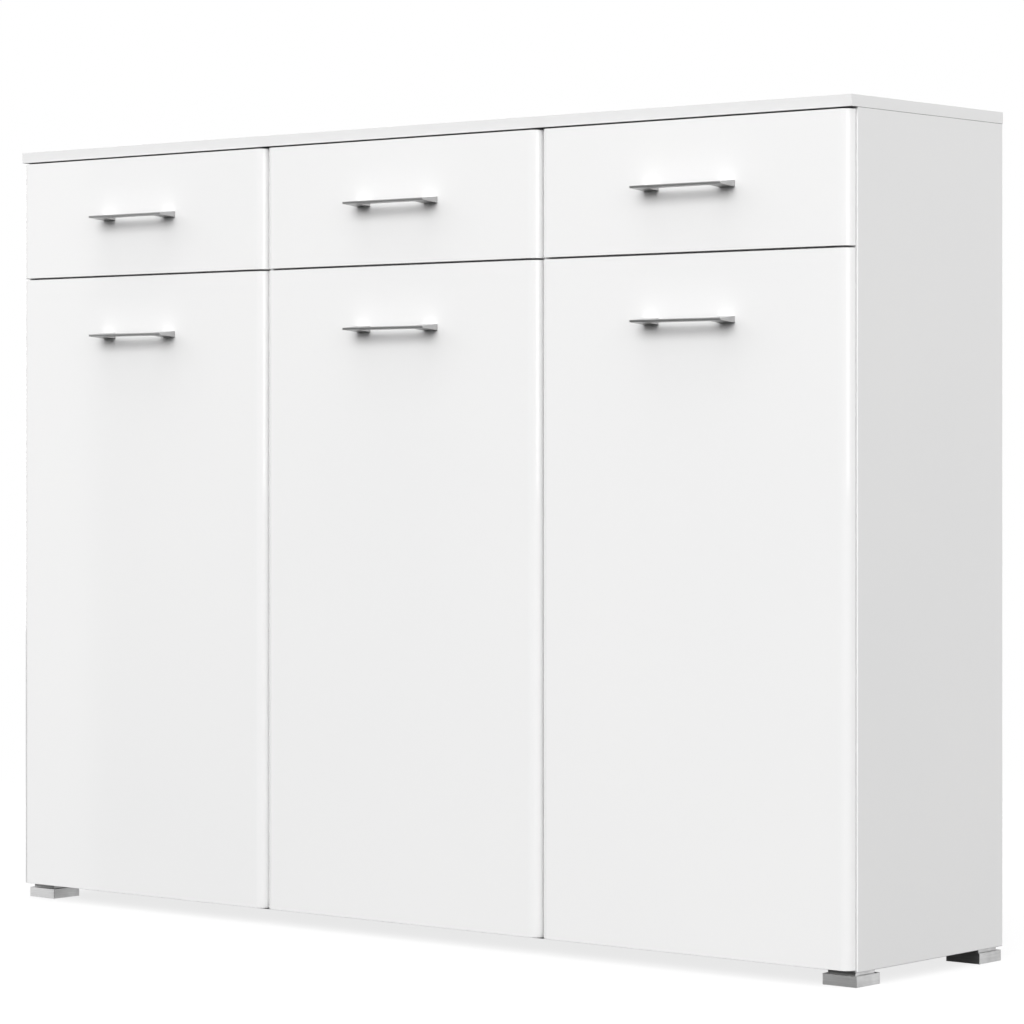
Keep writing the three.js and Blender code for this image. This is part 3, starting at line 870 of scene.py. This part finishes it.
def cam_covers():
    """Round covers over the cam fittings under each divider."""
    rings = (
        (0, 0),
        (COVER_RADIUS, 0),
        (COVER_RADIUS, 0.5 * MM),
        (COVER_RADIUS - 0.5 * MM, COVER_THICKNESS),
        (COVER_RADIUS - COVER_RIM, COVER_THICKNESS),
        (COVER_RADIUS - COVER_RIM - 0.4 * MM, COVER_THICKNESS - COVER_DIP),
        (0, COVER_THICKNESS - COVER_DIP),
    )
    for bay in BAYS:
        low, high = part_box(bay + "_divider")
        bm = bmesh.new()
        for x in (low.x + COVER_FROM_SIDE, high.x - COVER_FROM_SIDE):
            for y in (low.y + COVER_FROM_END, high.y - COVER_FROM_END):
                turn(bm, rings, axes(Vector((x, y, low.z)), (1, 0, 0), (0, -1, 0), (0, 0, -1)))
        finish_piece(object_from(bm, bay + "_cam_covers"), PLASTIC, "carcass")


HANDLE_SCREWS = 64 * MM  # each side of the handle's middle


def handle_screws():
    for bay in BAYS:
        for kind, panel in (("door", "door_panel"), ("drawer", "drawer_front")):
            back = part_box(f"{bay}_{panel}")[1].y
            handle_low, handle_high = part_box(f"{bay}_{kind}_handle")
            middle = (handle_low + handle_high) / 2
            bm = bmesh.new()
            for offset in (-HANDLE_SCREWS, HANDLE_SCREWS):
                screw_head(bm, Vector((middle.x + offset, back, middle.z)), (0, 1, 0), HANDLE_SCREW)
            finish_piece(object_from(bm, f"{bay}_{kind}_handle_screws"), NICKEL, f"{bay}_{kind}")


BUMPER = 1.4 * MM  # thickness
SMALL_BUMPER = 2.5 * MM  # radius
LARGE_BUMPER = 4 * MM
DOOR_BUMPER_FROM_SIDE = 12 * MM
DOOR_BUMPER_FROM_TOP = 3.4 * MM
DOOR_BUMPER_FROM_BOTTOM = 6.5 * MM
DRAWER_BUMPER_FROM_SIDE = 40 * MM
DRAWER_BUMPER_FROM_BOTTOM = 3.3 * MM


def bumper(bm, point, radius):
    """A soft domed dot on the back of a front."""
    rings = (
        (0, 0),
        (radius, 0),
        (0.96 * radius, 0.5 * BUMPER),
        (0.8 * radius, 0.85 * BUMPER),
        (0.5 * radius, BUMPER),
        (0, BUMPER),
    )
    turn(bm, rings, axes(point, (1, 0, 0), (0, 0, -1), (0, 1, 0)))


def bumpers():
    for bay in BAYS:
        low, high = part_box(bay + "_door_panel")
        free_x = high.x - DOOR_BUMPER_FROM_SIDE
        if hinge_side(bay) > 0:
            free_x = low.x + DOOR_BUMPER_FROM_SIDE
        bm = bmesh.new()
        bumper(bm, Vector((free_x, high.y, high.z - DOOR_BUMPER_FROM_TOP)), SMALL_BUMPER)
        bumper(bm, Vector((free_x, high.y, low.z + DOOR_BUMPER_FROM_BOTTOM)), LARGE_BUMPER)
        finish_piece(object_from(bm, bay + "_door_bumpers"), PLASTIC, bay + "_door")

        low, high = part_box(bay + "_drawer_front")
        bm = bmesh.new()
        for x in (low.x + DRAWER_BUMPER_FROM_SIDE, high.x - DRAWER_BUMPER_FROM_SIDE):
            bumper(bm, Vector((x, high.y, low.z + DRAWER_BUMPER_FROM_BOTTOM)), SMALL_BUMPER)
        finish_piece(object_from(bm, bay + "_drawer_bumpers"), PLASTIC, bay + "_drawer")


TAPE_WIDTH = 30 * MM
TAPE = 0.15 * MM  # thickness
TAPE_EDGE = 0.03 * MM
TAPE_SHORT = 1 * MM  # how far it stops short of the boards above and below
BACK_SCREW_STEP = 200 * MM
BACK_SCREW_START = 90 * MM  # above the back's lower edge
BACK_SCREW_STOP = 60 * MM  # below its upper edge


def back_fittings():
    """Screws through the back into the partitions, and the tape over the fold in its middle."""
    low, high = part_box("back_panel")
    bm = bmesh.new()
    for name in ("left_partition", "right_partition"):
        part_low, part_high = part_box(name)
        x = (part_low.x + part_high.x) / 2
        z = low.z + BACK_SCREW_START
        while z < high.z - BACK_SCREW_STOP:
            screw_head(bm, Vector((x, high.y, z)), (0, 1, 0), BACK_SCREW)
            z += BACK_SCREW_STEP
    finish_piece(object_from(bm, "back_panel_screws"), NICKEL, "carcass")

    top_of_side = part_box("left_side_panel")[1].z
    top_of_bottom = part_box("bottom_panel")[1].z
    bm = bmesh.new()
    half = TAPE_WIDTH / 2
    outer = high.y + TAPE
    corners = [Vector(corner) for corner in ((-half, high.y), (half, high.y), (half, outer), (-half, outer))]
    prism(bm, corners, top_of_bottom + TAPE_SHORT, top_of_side - TAPE_SHORT, TAPE_EDGE)
    finish_piece(object_from(bm, "back_panel_tape"), PLASTIC, "carcass")


# ---------------------------------------------------------------- CAD nodes that stay


def finish_node(name, material, edge, segments=3):
    """Gives a CAD node its material, and rounds its sharp edges with modifiers by edge metres."""
    part = NODES[name]
    part.data.materials.clear()
    part.data.materials.append(material)
    weld = part.modifiers.new("weld", "WELD")
    weld.merge_threshold = 0.01 * MM
    rounding = part.modifiers.new("rounding", "BEVEL")
    rounding.width = edge
    rounding.segments = segments
    rounding.limit_method = "ANGLE"
    rounding.angle_limit = SHARP_BEND
    rounding.use_clamp_overlap = True
    shading = part.modifiers.new("shading", "WEIGHTED_NORMAL")
    shading.keep_sharp = False


# How far each kind of node's sharp edges are rounded
HANDLE_EDGE = 0.35 * MM
FOOT_EDGE = 0.5 * MM
HINGE_EDGE = 0.2 * MM
SHEET_EDGE = 0.2 * MM
DRAWER_EDGE = 0.4 * MM
TOP_EDGE = 0.35 * MM
SIDE_EDGE = 0.8 * MM
BOARD_EDGE = 0.4 * MM


def finish_nodes():
    for name in NODES:
        if name.endswith(("drawer_front", "door_panel")):
            continue
        if name.endswith("handle"):
            finish_node(name, SATIN_METAL, HANDLE_EDGE)
        elif name.endswith(("_foot", "_foot_plate")):
            finish_node(name, BRUSHED_STEEL, FOOT_EDGE)
        elif "hinge" in name:
            finish_node(name, NICKEL, HINGE_EDGE, 2)
        elif name == "back_panel" or name.endswith("drawer_bottom"):
            finish_node(name, HARDBOARD, SHEET_EDGE, 2)
        elif "_drawer_" in name:
            finish_node(name, DRAWER_BOARD, DRAWER_EDGE)
        elif name == "top_panel":
            finish_node(name, SATIN_TOP, TOP_EDGE)
        elif name.endswith("side_panel"):
            finish_node(name, SATIN, SIDE_EDGE)
        else:
            finish_node(name, SATIN, BOARD_EDGE)


# ---------------------------------------------------------------- the scene

make_camera()
make_world()
make_floor()
light_the_studio()
finish_nodes()
make_fronts()
hinge_cups()
hinge_arm_screws()
runners()
shelf_pins()
cam_covers()
handle_screws()
bumpers()
back_fittings()
bpy.context.scene.view_settings.view_transform = "Standard"
